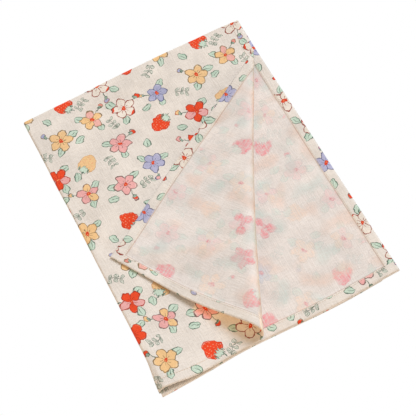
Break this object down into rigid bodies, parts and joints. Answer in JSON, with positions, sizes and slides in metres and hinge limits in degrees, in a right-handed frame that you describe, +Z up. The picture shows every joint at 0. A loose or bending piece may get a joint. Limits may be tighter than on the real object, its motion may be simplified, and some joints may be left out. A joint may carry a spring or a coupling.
{
  "type": "swaddle blanket",
  "caption": "Thin hemmed muslin blanket, folded into a flat rectangular stack, with one free corner of the top layer turned back over a soft roll.",
  "frame": {"origin": "middle of the folded stack's footprint, on the surface that it lies on", "axes": "+X along the short side, from the left fold to the free hems; +Y along the long side, from the hems to the top fold; +Z up through the layers"},
  "size_m": [0.3778, 0.502, 0.035],
  "materials": {
    "muslin": "matte, crinkled cotton double gauze"
  },
  "bodies": {
    "root": {"blanket": "muslin"}
  },
  "joints": []
}
